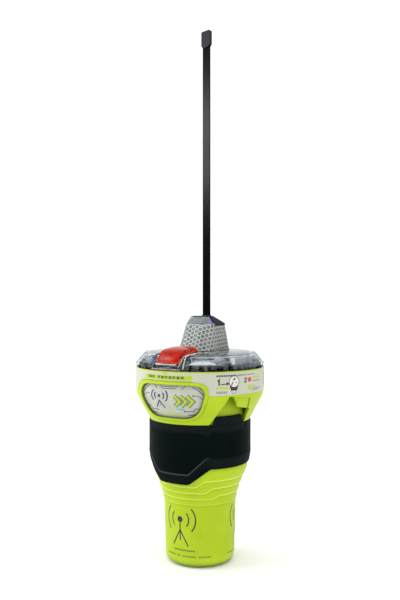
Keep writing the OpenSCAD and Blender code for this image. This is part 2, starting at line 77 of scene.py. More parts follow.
def shader(name, color, rough=0.4, metal=0.0, tone=0.12, tone_scale=60.0, grain=900.0, bump=0.1,
           bump_depth=0.00004, rough_spread=0.08, edge=0.0, shades=None, crease=None, **inputs):
    """Principled material whose colour, roughness and surface all vary a little over the piece.
    With shades = (dark, light) the mesh's "shade" attribute, 0 to 1, draws it towards either, as painted
    shade and painted light, and crease = (colour, distance) paints shade on it where other surfaces stand
    close."""
    m = bpy.data.materials.new(name)
    m.use_nodes = True
    nt = m.node_tree
    n, link = nt.nodes, nt.links.new
    bsdf = n["Principled BSDF"]
    bsdf.inputs["Metallic"].default_value = metal
    for key, value in inputs.items():
        bsdf.inputs[key.replace("_", " ")].default_value = value
    where = n.new("ShaderNodeTexCoord")
    broad = n.new("ShaderNodeTexNoise")
    broad.inputs["Scale"].default_value = tone_scale
    broad.inputs["Detail"].default_value = 6
    link(where.outputs["Object"], broad.inputs["Vector"])
    tones = n.new("ShaderNodeValToRGB")
    tones.color_ramp.elements[0].position = 0.3
    tones.color_ramp.elements[1].position = 0.7
    tones.color_ramp.elements[0].color = [c * (1 - tone) for c in color] + [1]
    tones.color_ramp.elements[1].color = [min(1, c * (1 + tone * 0.6)) for c in color] + [1]
    link(broad.outputs["Fac"], tones.inputs["Fac"])
    link(tones.outputs["Color"], bsdf.inputs["Base Color"])
    # painted shade and painted light, drawn from the mesh's "shade" attribute
    if shades:
        drawn = n.new("ShaderNodeAttribute")
        drawn.attribute_name = "shade"
        last = tones.outputs["Color"]
        for tone_at, shade in ((0.0, shades[0]), (1.0, shades[1])):
            toned = n.new("ShaderNodeValToRGB")
            toned.color_ramp.elements[0].color = [c * 0.9 for c in shade] + [1]
            toned.color_ramp.elements[1].color = [min(1, c * 1.1) for c in shade] + [1]
            link(broad.outputs["Fac"], toned.inputs["Fac"])
            share = n.new("ShaderNodeMapRange")
            share.inputs["From Min"].default_value = 0.5
            share.inputs["From Max"].default_value = tone_at
            link(drawn.outputs["Fac"], share.inputs["Value"])
            mix = n.new("ShaderNodeMix")
            mix.data_type = "RGBA"
            link(share.outputs["Result"], mix.inputs[0])
            link(last, mix.inputs[6])
            link(toned.outputs["Color"], mix.inputs[7])
            last = mix.outputs[2]
        link(last, bsdf.inputs["Base Color"])
    # painted shade: ambient occlusion darkens the colour where other surfaces stand close
    if crease:
        deep = n.new("ShaderNodeValToRGB")
        deep.color_ramp.elements[0].color = [c * 0.9 for c in crease[0]] + [1]
        deep.color_ramp.elements[1].color = [min(1, c * 1.1) for c in crease[0]] + [1]
        link(broad.outputs["Fac"], deep.inputs["Fac"])
        hidden = n.new("ShaderNodeAmbientOcclusion")
        hidden.samples = 8
        hidden.inputs["Distance"].default_value = crease[1]
        open_share = n.new("ShaderNodeMapRange")
        open_share.inputs["From Min"].default_value = 0.35
        open_share.inputs["From Max"].default_value = 0.95
        link(hidden.outputs["AO"], open_share.inputs["Value"])
        mix = n.new("ShaderNodeMix")
        mix.data_type = "RGBA"
        link(open_share.outputs["Result"], mix.inputs[0])
        link(deep.outputs["Color"], mix.inputs[6])
        link(bsdf.inputs["Base Color"].links[0].from_socket, mix.inputs[7])
        link(mix.outputs[2], bsdf.inputs["Base Color"])
    fine = n.new("ShaderNodeTexNoise")
    fine.inputs["Scale"].default_value = grain
    fine.inputs["Detail"].default_value = 3
    link(where.outputs["Object"], fine.inputs["Vector"])
    spread = n.new("ShaderNodeMapRange")
    spread.inputs["To Min"].default_value = max(0.02, rough - rough_spread)
    spread.inputs["To Max"].default_value = rough + rough_spread
    link(broad.outputs["Fac"], spread.inputs["Value"])
    link(spread.outputs["Result"], bsdf.inputs["Roughness"])
    b = n.new("ShaderNodeBump")
    b.inputs["Strength"].default_value = bump
    b.inputs["Distance"].default_value = bump_depth
    link(fine.outputs["Fac"], b.inputs["Height"])
    link(b.outputs["Normal"], bsdf.inputs["Normal"])
    if edge:
        soft = n.new("ShaderNodeBevel")
        soft.samples = 6
        soft.inputs["Radius"].default_value = edge
        link(soft.outputs["Normal"], b.inputs["Normal"])
    return m


GREEN = (0.385, 0.515, 0.016)
# shaded and lit copies of the case's green, for painted shade and painted highlights
SHADED_GREEN = (0.20, 0.31, 0.004)
LIT_GREEN = (0.62, 0.74, 0.12)
M = {
    # case: painted shade in its creases and under the grip's lip, painted highlights along its terraces
    "case": shader("case", GREEN, 0.42, tone=0.06, bump=0.12, edge=0.0005, Specular_IOR_Level=0.12,
                   shades=(SHADED_GREEN, LIT_GREEN), crease=((0.20, 0.30, 0.006), 0.007)),
    # grip: its light shade is a painted highlight along the ridge
    "grip": shader("grip", (0.0018, 0.0042, 0.0044), 0.5, tone=0.3, grain=2200, bump=0.35, edge=0.0004,
                   bump_depth=0.00006, Specular_IOR_Level=0.015,
                   shades=((0.0015, 0.002, 0.0025), (0.05, 0.06, 0.06))),
    # badge: painted shade along its recessed edges
    "badge": shader("badge", (0.43, 0.45, 0.37), 0.42, tone=0.12, tone_scale=140, metal=0.1,
                    Specular_IOR_Level=0.2, crease=((0.14, 0.16, 0.15), 0.006)),
    "label": shader("label", (0.47, 0.485, 0.39), 0.5, tone=0.05, Specular_IOR_Level=0.2),
    "film": shader("film", (0.72, 0.74, 0.66), 0.35, tone=0.1, metal=0.2, Specular_IOR_Level=0.3),
    "black": shader("black", (0.006, 0.008, 0.011), 0.42, tone=0.3, edge=0.0003, Specular_IOR_Level=0.08),
    "white": shader("white", (0.86, 0.87, 0.84), 0.25, tone=0.05),
    "deck": shader("deck", (0.006, 0.008, 0.011), 0.42, tone=0.3, Specular_IOR_Level=0.08,
                   shades=((0.004, 0.005, 0.008), (0.12, 0.14, 0.16))),
    "tray": shader("tray", (0.40, 0.43, 0.48), 0.3, tone=0.35, tone_scale=160, bump=0.2),
    "red": shader("red", (0.38, 0.010, 0.003), 0.24, tone=0.5, tone_scale=260, grain=520, bump=0.6,
                  bump_depth=0.00012, Coat_Weight=0.04, Coat_Roughness=0.08, Specular_IOR_Level=0.08,
                  shades=((0.16, 0.004, 0.002), (0.72, 0.22, 0.17))),
    "redkey": shader("redkey", (0.55, 0.03, 0.02), 0.5, tone=0.15),
    "greenkey": shader("greenkey", (0.03, 0.35, 0.06), 0.5, tone=0.15),
    "seal": shader("seal", (0.02, 0.02, 0.022), 0.6, tone=0.3),
    "steel": shader("steel", (0.62, 0.62, 0.6), 0.3, metal=1.0, tone=0.1),
    "blacksteel": shader("blacksteel", (0.0006, 0.001, 0.0016), 0.2, tone=0.4, tone_scale=25,
                         rough_spread=0.04, bump=0.05, edge=0.0003, Specular_IOR_Level=0.02),
    "board": shader("board", (0.01, 0.12, 0.05), 0.35, tone=0.3, tone_scale=400),
    "led": shader("led", (0.8, 0.62, 0.12), 0.3, tone=0.1),
    "ceramic": shader("ceramic", (0.62, 0.52, 0.38), 0.5, tone=0.1),
    "brass": shader("brass", (0.75, 0.55, 0.22), 0.3, metal=1.0, tone=0.1),
    "chassis": shader("chassis", (0.05, 0.055, 0.06), 0.5, tone=0.2),
    "cell": shader("cell", (0.03, 0.1, 0.4), 0.3, tone=0.15),
    "wire": shader("wire", (0.5, 0.02, 0.02), 0.45, tone=0.1),
    "plug": shader("plug", (0.7, 0.68, 0.56), 0.45, tone=0.1),
    "reed": shader("reed", (0.7, 0.85, 0.82), 0.1, tone=0.1, Transmission_Weight=0.8),
}
INK = {
    "ink_black": shader("ink_black", (0.012, 0.014, 0.02), 0.5, tone=0.3),
    "ink_grey": shader("ink_grey", (0.16, 0.17, 0.19), 0.5, tone=0.2),
    "ink_blue": shader("ink_blue", (0.02, 0.035, 0.13), 0.45, tone=0.25),
    "ink_green": shader("ink_green", (0.385, 0.515, 0.02), 0.45, tone=0.1, Specular_IOR_Level=0.12),
    "ink_cyan": shader("ink_cyan", (0.06, 0.42, 0.62), 0.45, tone=0.15),
    "ink_tag": shader("ink_tag", (0.05, 0.085, 0.03), 0.5, tone=0.2),
    "ink_red": shader("ink_red", (0.62, 0.015, 0.01), 0.45, tone=0.15),
    "ink_white": shader("ink_white", (0.62, 0.64, 0.60), 0.45, tone=0.06),
}


def clear_lens():
    """Smoky, milky and streaked up to the shoulder, and clearer over the dome."""
    m = shader("lens", (0.8, 0.84, 0.87), 0.025, tone=0.03, grain=70, bump=0.05, bump_depth=0.0003,
               rough_spread=0.01, Transmission_Weight=1.0, IOR=1.025, Coat_Weight=0.05,
               Coat_Roughness=0.05, Coat_IOR=1.45)
    nt = m.node_tree
    n, link = nt.nodes, nt.links.new
    split = n.new("ShaderNodeSeparateXYZ")
    link(n["Texture Coordinate"].outputs["Object"], split.inputs["Vector"])
    height = n.new("ShaderNodeMapRange")
    height.inputs["From Min"].default_value = 0.160
    height.inputs["From Max"].default_value = 0.180
    link(split.outputs["Z"], height.inputs["Value"])
    tint = n.new("ShaderNodeValToRGB")
    stops = tint.color_ramp
    stops.elements[0].position, stops.elements[0].color = 0.1, (0.66, 0.70, 0.72, 1)
    stops.elements[1].position, stops.elements[1].color = 0.72, (0.90, 0.92, 0.91, 1)
    middle = stops.elements.new(0.64)
    middle.color = (0.74, 0.77, 0.77, 1)
    link(height.outputs["Result"], tint.inputs["Fac"])
    link(tint.outputs["Color"], n["Principled BSDF"].inputs["Base Color"])
    milky = n.new("ShaderNodeValToRGB")
    for at, value in ((0.12, 0.99), (0.24, 0.955), (0.66, 0.93), (0.76, 0.985)):
        stop = milky.color_ramp.elements.new(at)
        stop.color = (value, value, value, 1)
    milky.color_ramp.elements[0].color = (0.99, 0.99, 0.99, 1)
    milky.color_ramp.elements[-1].color = (0.985, 0.985, 0.985, 1)
    link(height.outputs["Result"], milky.inputs["Fac"])
    stretch = n.new("ShaderNodeMapping")
    stretch.inputs["Scale"].default_value = (1, 1, 0.12)
    link(n["Texture Coordinate"].outputs["Object"], stretch.inputs["Vector"])
    streak = n.new("ShaderNodeTexNoise")
    streak.inputs["Scale"].default_value = 210
    link(stretch.outputs["Vector"], streak.inputs["Vector"])
    swing = n.new("ShaderNodeMapRange")
    swing.inputs["From Min"].default_value = 0.35
    swing.inputs["From Max"].default_value = 0.65
    swing.inputs["To Min"].default_value = -0.09
    swing.inputs["To Max"].default_value = 0.07
    link(streak.outputs["Fac"], swing.inputs["Value"])
    total = n.new("ShaderNodeMath")
    total.use_clamp = True
    link(milky.outputs["Color"], total.inputs[0])
    link(swing.outputs["Result"], total.inputs[1])
    link(total.outputs["Value"], n["Principled BSDF"].inputs["Transmission Weight"])
    return m


M["lens"] = clear_lens()
slots = {s["node"]: s["material_slot"] for s in frame["record"]["subparts"]}
slots.update(reflector_tray="tray", deck_ring="deck")
for name, node in frame["nodes"].items():
    node.data.materials.clear()
    node.data.materials.append(M[slots[name]])
    plain = node.data.attributes.new("shade", "FLOAT", "POINT")
    # painted shade: the upper case is drawn darker below 150 mm, inside its recesses; the other nodes stay
    # plain
    low_share = 0.36 if name == "upper_case" else 0.5
    plain.data.foreach_set("value", [low_share if v.co.z < 0.15 else 0.5 for v in node.data.vertices])


# ---- making pieces ---------------------------------------------------------------------

def add(name, verts, faces, material, body="housing", smooth=40):
    """A mesh piece from millimetre points, riding on a CAD body."""
    mesh = bpy.data.meshes.new(name)
    mesh.from_pydata([Vector(v) * MM for v in verts], [], faces)
    o = bpy.data.objects.new(name, mesh)
    scene.collection.objects.link(o)
    mesh.materials.append(material)
    bm = bmesh.new()
    bm.from_mesh(mesh)
    bmesh.ops.recalc_face_normals(bm, faces=bm.faces)
    for f in bm.faces:
        f.smooth = True
    for e in bm.edges:
        e.smooth = len(e.link_faces) != 2 or e.calc_face_angle(0) < math.radians(smooth)
    bm.to_mesh(mesh)
    bm.free()
    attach(o, body)
    return o


def draw_shade(o, value):
    """Writes the shade of every point, from its place in millimetres: 0 dark, 0.5 plain, 1 light."""
    at = o.data.attributes.new("shade", "FLOAT", "POINT")
    at.data.foreach_set("value", [value(v.co / MM) for v in o.data.vertices])


def around(p):
    """Azimuth of a point in degrees, from the front towards +X."""
    return math.degrees(math.atan2(p.x, -p.y))


def rings(rows, closed_rows=False, closed_ring=True):
    """Points and quads of a surface lofted through rows of equally many points."""
    w, h = len(rows[0]), len(rows)
    verts = [p for row in rows for p in row]
    faces = []
    for i in range(h if closed_rows else h - 1):
        for j in range(w if closed_ring else w - 1):
            a, b = i % h * w, (i + 1) % h * w
            faces.append((a + j, a + (j + 1) % w, b + (j + 1) % w, b + j))
    return verts, faces


def ramp(x, points):
    """Straight lines through (x, value) points."""
    if x <= points[0][0]:
        return points[0][1]
    for (x0, y0), (x1, y1) in zip(points, points[1:]):
        if x <= x1:
            return y0 + (y1 - y0) * (x - x0) / (x1 - x0)
    return points[-1][1]


def soft_ramp(x, points, width):
    """ramp() with its corners rounded over width."""
    return sum(ramp(x + width * k / 4, points) for k in range(-4, 5)) / 9


def polar(az, r, z):
    """A point at azimuth az in degrees, counted from the front (-Y) towards +X."""
    a = math.radians(az)
    return (r * math.sin(a), -r * math.cos(a), z)


def fold(az):
    """Distance in degrees round to the nearer of the front and the rear lobe."""
    return abs((az + 1 + 90) % 180 - 90)


def side(az):
    """Azimuth folded so that both sides, front and rear, read alike from 0 to 90."""
    az = abs((az + 180) % 360 - 180)
    return min(az, 180 - az)


# ---- case ------------------------------------------------------------------------------

def case_r(z):
    """Outer radius of the case at a height."""
    if z < FLARE_Z:
        return FOOT_R + (FLARE_R - FOOT_R) * z / FLARE_Z
    return FLARE_R + (CORE_R - FLARE_R) * min(1, (z - FLARE_Z) / FLARE_H) ** FLARE_POWER


def low_edge(az):
    """Height of the grip's lower edge."""
    return soft_ramp(fold(az), [(19.7, GRIP_LOW_Z), (44.5, GRIP_SIDE_Z)], 2.2)


def ridge(az):
    """Height of the ridge above the grip's bevelled lower edge."""
    return soft_ramp(fold(az), [(19.7, 77.9), (39.6, 91.4)], 1.6)


TURN = [i * 0.75 for i in range(480)]


def terraces(az):
    """Heights of the four steps up the flare."""
    return [51.2] + [soft_ramp(fold(az), [(b, h), (b + wide, h + up)], 1.5)
                     for h, b, wide, up in ((56.0, 53, 8, 2.3), (61.0, 40, 11, 4.1), (66.2, 27, 13, 5.3))]


def case_shade(p):
    """Painted shade under each terrace and under the grip's lip, painted highlight along each terrace and
    over the foot.
    """
    az = around(p)
    steps = terraces(az)
    shade = 0.5
    for i, h in enumerate(steps):
        d = p.z - h
        if -2.4 < d < 0:
            shade -= (0.16 if i else 0.08) * (1 + d / 2.4)
        elif 0 <= d < 1.1:
            shade += 0.34 if i else 0.12
    if p.z < steps[0]:
        shade -= 0.05 - 0.2 * max(0, 1 - p.z / 12)
    return shade - 0.22 * max(0, 1 - max(0, low_edge(az) - p.z) / 1.6)


def grip_shade(p):
    """Painted highlight along the ridge above the bevelled edge, most on the lobes; the bevel below it
    painted a little lighter, and the grip a little lighter above 110 mm.
    """
    az = around(p)
    d = p.z - ridge(az)
    lobe = max(0, min(1, (46 - fold(az)) / 12))
    if -0.7 < d < 0.5:
        return 0.5 + 0.34 * lobe
    if -7 < d <= -0.7:
        return 0.54 - 0.02 * lobe
    return 0.5 + (0.05 if p.z > 110 else 0)


def case_rows():
    """Rings over the rounded foot, up the terraced wall, round the spigot and down the inside."""
    wide, high = FOOT_ROUND
    rows = [[polar(az, 0.5, 0) for az in TURN]]
    for i in range(8):
        a = math.radians(90 * i / 7)
        rows.append([polar(az, FOOT_R - wide + wide * math.sin(a), high - high * math.cos(a)) for az in TURN])
    z = high + 0.6
    while z < CASE_TOP_Z:
        row = []
        for az in TURN:
            r = case_r(z)
            for h in terraces(az):
                # a terrace: the wall steps out by a hair, then eases back before the next one
                d = z - h
                if 0 <= d < 5.2:
                    r += 0.42 * min(1, d / 0.4) * (1 - max(0, d - 0.6) / 4.6)
            row.append(polar(az, r, z))
        rows.append(row)
        z += 0.32 if 49 < z < 74 else 2
    mouth = [(CORE_R, CASE_TOP_Z), (SPIGOT_R, CASE_TOP_Z), (SPIGOT_R, SPIGOT_Z), (SPIGOT_IN, SPIGOT_Z)]
    inside = [(SPIGOT_IN, CASE_TOP_Z - 2), (26, 44), (21, FLOOR_Z), (0.5, FLOOR_Z)]
    return rows + [[polar(az, r, z) for az in TURN] for r, z in mouth + inside]


case = add("case_shell", *rings(case_rows(), closed_rows=True), M["case"])
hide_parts("lower_case")
draw_shade(case, case_shade)


# ---- grip ------------------------------------------------------------------------------

def band_r(z):
    """Radius of the grip's straight part, which draws in towards its lower edge."""
    return GRIP_R - 1.3 * max(0, min(1, (91 - z) / 12.5))


def grip_rows():
    """Rings of the grip, made from each azimuth's outline: lower lip, outside, top and back inside."""
    spans = []
    for az in TURN:
        z0 = low_edge(az)
        zb = max(z0 + 6, ridge(az))
        s = side(az)
        top = soft_ramp(s, [(46.5, 117.2), (49.5, 123.6), (85.4, 123.6), (86.4, 117.2)], 0.5)
        step = soft_ramp(s, [(33, 109.6), (45, 116.4), (86, 116.4), (90, 112)], 1.2)
        r0 = 39.7 + 1.3 * (z0 - GRIP_LOW_Z) / (GRIP_SIDE_Z - GRIP_LOW_Z)
        rb = band_r(zb)
        points = [(case_r(z0) + 0.06, z0), (r0 - 0.5, z0), (r0 - 0.12, z0 + 0.15), (r0, z0 + 0.6)]
        for t in (0.25, 0.5, 0.75, 0.9, 0.95):
            points.append((r0 + (rb + 0.1 - r0) * t + 0.2 * math.sin(math.pi * t), z0 + (zb - z0) * t))
        points += [(rb + 0.16, zb - 0.1), (rb + 0.12, zb + 0.3), (band_r(zb + 0.9), zb + 0.9)]
        for t in (0.15, 0.3, 0.45, 0.6, 0.75, 0.9):
            z = zb + 0.9 + (step - 0.6 - zb - 0.9) * t
            points.append((band_r(z), z))
        points += [(GRIP_R, step - 0.5), (42.2, step - 0.15), (41.85, step + 0.05), (41.8, step + 0.4)]
        points += [(41.75, (step + top) / 2), (41.7, top - 0.5), (41.55, top - 0.12), (41.2, top)]
        points += [(CORE_R + 0.2, top), (CORE_R + 0.1, 100), (CORE_R + 0.1, max(z0 + 1, 84))]
        spans.append([polar(az, r, z) for r, z in points])
    return [list(row) for row in zip(*spans)]


grip = add("grip_sleeve", *rings(grip_rows(), closed_rows=True), M["grip"], smooth=50)
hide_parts("grip_band")
draw_shade(grip, grip_shade)


# ---- graphics --------------------------------------------------------------------------

def stroke(points, width, closed=False):
    """Quads along a polyline, mitred at its corners."""
    pts = [Vector(p) for p in points]
    n = len(pts)
    left, right = [], []
    for i, p in enumerate(pts):
        before = pts[(i - 1) % n] if closed or i else None
        after = pts[(i + 1) % n] if closed or i < n - 1 else None
        d0 = (p - before).normalized() if before is not None else (after - p).normalized()
        d1 = (after - p).normalized() if after is not None else d0
        t = (d0 + d1).normalized() if (d0 + d1).length > 0.01 else d0
        normal = Vector((-t.y, t.x))
        reach = width / 2 / max(0.4, normal.dot(Vector((-d0.y, d0.x))))
        left.append(p + normal * reach)
        right.append(p - normal * reach)
    out = []
    for i in range(n if closed else n - 1):
        j = (i + 1) % n
        out.append([left[i], left[j], right[j], right[i]])
    return out


def disc(x, y, r, n=28):
    """A filled circle of n corners."""
    return [Vector((x + r * math.cos(2 * math.pi * i / n), y + r * math.sin(2 * math.pi * i / n)))
            for i in range(n)]


def arc(x, y, r, a0, a1, n=14):
    """Points of an arc from a0 to a1 degrees."""
    return [(x + r * math.cos(math.radians(a0 + (a1 - a0) * i / n)),
             y + r * math.sin(math.radians(a0 + (a1 - a0) * i / n))) for i in range(n + 1)]


def bar(x0, x1, y0, y1):
    """A filled rectangle."""
    return [Vector(p) for p in ((x0, y0), (x1, y0), (x1, y1), (x0, y1))]


def rounded(pts, r, n=8):
    """The outline with each corner turned into a curve, and long sides cut into short steps."""
    out = []
    k = len(pts)
    for i in range(k):
        a, p, b = (Vector(pts[j % k]) for j in (i - 1, i, i + 1))
        s = p + (a - p).normalized() * min(r, (a - p).length * 0.45)
        e = p + (b - p).normalized() * min(r, (b - p).length * 0.45)
        for t in (j / n for j in range(n + 1)):
            out.append(s * (1 - t) ** 2 + 2 * p * t * (1 - t) + e * t * t)
        nxt = Vector(pts[(i + 2) % k])
        end = b + (p - b).normalized() * min(r, (p - b).length * 0.45)
        steps = int((end - e).length / 1.5)
        out += [e + (end - e) * j / (steps + 1) for j in range(1, steps + 1)]
    return out


def print_on(name, shapes, place, material, cell=1.0):
    """Flat shapes cut into cells and laid on a surface by place(x, y), as one printed piece."""
    bm = bmesh.new()
    for shape in shapes:
        bm.faces.new([bm.verts.new((p[0], p[1], 0)) for p in shape])
    xs = [v.co.x for v in bm.verts]
    x = math.floor(min(xs)) + cell
    while x < max(xs):
        bmesh.ops.bisect_plane(bm, geom=bm.verts[:] + bm.edges[:] + bm.faces[:], plane_co=(x, 0, 0),
                               plane_no=(1, 0, 0))
        x += cell
    bmesh.ops.triangulate(bm, faces=[f for f in bm.faces if len(f.verts) > 4])
    bm.verts.index_update()
    verts = [place(v.co.x, v.co.y) for v in bm.verts]
    faces = [[v.index for v in f.verts] for f in bm.faces]
    bm.free()
    return add(name, verts, faces, material)


def on_drum(az0, r):
    """Places prints on a cylinder of radius r (a number or a function of height)."""
    def place(x, y):
        radius = r(y) if callable(r) else r
        return polar(az0 + math.degrees(x / radius), radius, y)
    return place


def mark(x, y, k, w):
    """Broadcasting mark of scale k in strokes w wide: a mast with two arcs on each side."""
    shapes = stroke([(x, y - 9 * k), (x, y + 1.5 * k)], w) + [disc(x, y + 3 * k, 1.7 * k)]
    shapes += stroke([(x - 5 * k, y - 12 * k), (x, y - 3 * k), (x + 5 * k, y - 12 * k)], w)
    for r in (5.5 * k, 9.5 * k):
        shapes += stroke(arc(x, y + 3 * k, r, -42, 42), w) + stroke(arc(x, y + 3 * k, r, 138, 222), w)
    return shapes


for i, az in enumerate((-1, 114, 232)):
    print_on("case_mark_%d" % i, mark(0, 35, 1.42, 1.0), on_drum(az, lambda z: case_r(z) + PRINT_LIFT + 0.01),
             INK["ink_black"])
small = [bar(-9 + 1.9 * i, -7.7 + 1.9 * i, 13.9, 15.0) for i in range(10)]
small += [bar(-18 + 1.7 * i, -16.9 + 1.7 * i, 9.3, 10.3) for i in range(24) if i not in (6, 9, 17)]
for i, az in enumerate((5, 120, 238)):
    print_on("case_small_%d" % i, small, on_drum(az, lambda z: case_r(z) + PRINT_LIFT), INK["ink_tag"])


# ---- rim label -------------------------------------------------------------------------

def label_foot(x):
    """Height of the label's lower edge at a distance x round from the front."""
    return soft_ramp(abs(x), [(22, 153.0), (27.7, 151.3), (32.2, 147.9), (36.9, 141.7)], 1.2)


def label_rows():
    """Rings of the label, a point for each millimetre round it; its rear ends don't meet."""
    return [[polar(math.degrees(x / LABEL_R), LABEL_R, label_foot(x) + (LABEL_TOP_Z - label_foot(x)) * t)
             for x in range(-155, 156)] for t in (0, 0.25, 0.5, 0.75, 1)]


label = add("rim_label_film", *rings(label_rows(), closed_ring=False), M["label"])
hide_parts("rim_label")
PRINT_R = LABEL_R + PRINT_LIFT
front = on_drum(0, PRINT_R)
print_on("label_tag", [rounded([(-20.3, 153.8), (23.6, 153.8), (23.6, 157.1), (-20.3, 157.1)], 0.6, 4)],
         front, INK["ink_green"])
print_on("label_notch", [[Vector(p) for p in ((-1.0, 159.2), (1.6, 157.0), (4.2, 159.2))]], front,
         INK["ink_green"])
blocks = [bar(-16 + 2.5 * i, -14.2 + 2.5 * i, 154.5, 156.5) for i in range(3)]
blocks += [bar(-5.6 + 3.4 * i, -3.2 + 3.4 * i, 154.4, 156.5) for i in range(7)]
print_on("label_tag_blocks", blocks, on_drum(0, PRINT_R + 0.03), INK["ink_tag"])
print_on("label_tag_gaps", [bar(-4.6 + 6.8 * i, -3.9 + 6.8 * i, 154.4, 155.5) for i in range(4)],
         on_drum(0, PRINT_R + 0.05), INK["ink_green"])


def diagram(az0, prefix):
    """The numbered how-to strip: 1 points at the cover, 2 lists the red and the green key."""
    lay = on_drum(az0, PRINT_R)
    top = on_drum(az0, PRINT_R + 0.02)
    black = [bar(-18.9 + 1.9 * i, -17.5 + 1.9 * i, 156.2, 157.5) for i in range(9)]
    black += stroke([(-17.9, 152.9), (-16.8, 153.9), (-16.8, 149.5)], 1.15)
    black += stroke([(-15.4, 150.3), (-10.0, 150.7)], 0.75)
    black += [[Vector(p) for p in ((-10.8, 152.2), (-8.0, 150.8), (-10.6, 149.3))]]
    black += [[Vector(p) for p in ((-8.0, 148.9), (-0.2, 148.9), (-1.4, 145.3), (-6.8, 145.3))]]
    black += stroke(disc(-4.0, 152.1, 4.3), 0.8, closed=True)
    two = [(6.2, 153.3), (6.7, 154.1), (8.1, 154.1), (8.5, 153.1), (6.2, 151.1), (8.7, 151.1)]
    black += stroke(two, 0.85)
    print_on(prefix + "_black", black, lay, INK["ink_black"])
    print_on(prefix + "_white", [disc(-4.0, 152.1, 4.2)], on_drum(az0, PRINT_R + 0.01), INK["ink_white"])
    slit = [Vector(p) for p in ((-7.3, 149.2), (-6.0, 148.9), (-4.5, 151.6), (-5.6, 152.2))]
    print_on(prefix + "_red", [slit, disc(12.1, 152.7, 1.95)], top, INK["ink_red"])
    print_on(prefix + "_dark", [disc(-3.7, 154.2, 0.9, 10), bar(-2.7, -1.8, 151.0, 151.8),
                                bar(-5.2, -4.5, 153.0, 153.8)], top, INK["ink_black"])
    green = [bar(-18.9 + 2.6 * i, -17.0 + 2.6 * i, 146.5, 148.3) for i in range(4)]
    green += [bar(15.2 + 2.2 * i, 16.8 + 2.2 * i, 153.4, 154.8) for i in range(6)]
    green += [disc(12.1, 146.4, 1.95), bar(15.2, 19.6, 146.5, 147.8)]
    print_on(prefix + "_green", green, lay, INK["ink_green"])
    grey = [bar(-18.9 + 1.5 * i, -17.9 + 1.5 * i, 143.3, 145.0) for i in range(6)]
    grey += [bar(15.2, 28.0, 151.0, 151.6), bar(15.2, 29.0, 145.2, 145.8), bar(15.2, 26.0, 143.9, 144.5)]
    grey += [bar(-1.4, 8.6, 156.4, 157.2), bar(9.6, 19.0, 156.5, 157.1)] + stroke(
        [(-6.4, 145.1), (-5.6, 143.0), (-2.6, 143.0), (-1.8, 145.1)], 0.35)
    print_on(prefix + "_grey", grey, lay, INK["ink_grey"])


diagram(66, "steps_right")
for i, az in enumerate((-66, 122, -122)):
    rows = [bar(-16 + (k % 2), 12 - 3.1 * (k % 3), 155.6 - 1.9 * k, 156.3 - 1.9 * k) for k in range(6)]
    print_on("label_lines_%d" % i, rows, on_drum(az, PRINT_R), INK["ink_grey"])


# ---- front window ----------------------------------------------------------------------

def tree(node):
    """The surface of a CAD node, for rays."""
    mesh = frame["nodes"][node].data
    return BVHTree.FromPolygons([v.co[:] for v in mesh.vertices], [p.vertices[:] for p in mesh.polygons])


badge = tree("front_badge")


def window_x(z):
    """How far the window's middle stands from the front line at height z: the window leans a little."""
    return WINDOW_X + WINDOW_LEAN * (z - WINDOW_Z)


def on_badge(x, z, lift=0.06):
    """Places prints on the badge, from its middle line."""
    x += window_x(z)
    hit = badge.ray_cast(Vector((x * MM, -0.09, z * MM)), Vector((0, 1, 0)))[0]
    y = hit.y / MM if hit else -math.sqrt(max(0, 48.5 ** 2 - x * x))
    return (x, y - lift, z)


rear = tree("rear_label")


def on_rear(x, z):
    """Places prints on the rear label, read from behind."""
    hit = rear.ray_cast(Vector((-x * MM, 0.09, z * MM)), Vector((0, -1, 0)))[0]
    return (-x, hit.y / MM + 0.06, z)


rear_rows = [bar(-12.5 + 2.2 * i, -10.9 + 2.2 * i, 127.0, 128.3) for i in range(11) if i != 6]
rear_rows += [bar(-12.5, 11 - 2.6 * (k % 3), 125.4 - 1.4 * k, 125.9 - 1.4 * k) for k in range(3)]
print_on("rear_label_lines", rear_rows, on_rear, INK["ink_grey"])


def window(d):
    """Outline of the window, widened by d."""
    right = [(24.9, 13.6), (29.9, 6.8), (25, -7.2), (17, -13.8)]
    sx, sz = 1 + d / 29.9, 1 + d / 13.8
    pts = [(x * sx, WINDOW_Z + z * sz) for x, z in right]
    return [(x + window_x(z), z) for x, z in pts + [(-x, z) for x, z in reversed(pts)]]


def head_r(z):
    """Outer radius of the head at a height: skirt, arc and upright wall."""
    tilt = math.radians(SKIRT_TILT)
    z1, r1 = ARC_Z - ARC_R * math.sin(tilt), HEAD_R - ARC_R * (1 - math.cos(tilt))
    if z < z1:
        return SKIRT_R + (r1 - SKIRT_R) * (z - SKIRT_Z) / (z1 - SKIRT_Z)
    return HEAD_R - ARC_R + math.sqrt(ARC_R ** 2 - (ARC_Z - z) ** 2) if z < ARC_Z else HEAD_R


def bead(name, outline, radius, lift, material):
    """A rounded rib that follows an outline over the front of the head."""
    pts = []
    for p in outline:
        r = head_r(p.y) + lift
        pts.append(Vector((p.x, -math.sqrt(r * r - p.x * p.x), p.y)))
    n = len(pts)
    rows = []
    for i, p in enumerate(pts):
        t = (pts[(i + 1) % n] - pts[i - 1]).normalized()
        out = Vector((p.x, p.y, -12)).normalized()
        out = (out - t * out.dot(t)).normalized()
        across = t.cross(out)
        rows.append([p + radius * (math.cos(a) * 1.25 * across + math.sin(a) * out)
                     for a in (2 * math.pi * j / 14 for j in range(14))])
    return add(name, *rings(rows, closed_rows=True), material)


bead("window_frame", rounded(window(1.1), 8.5), 1.05, -0.55, M["case"])

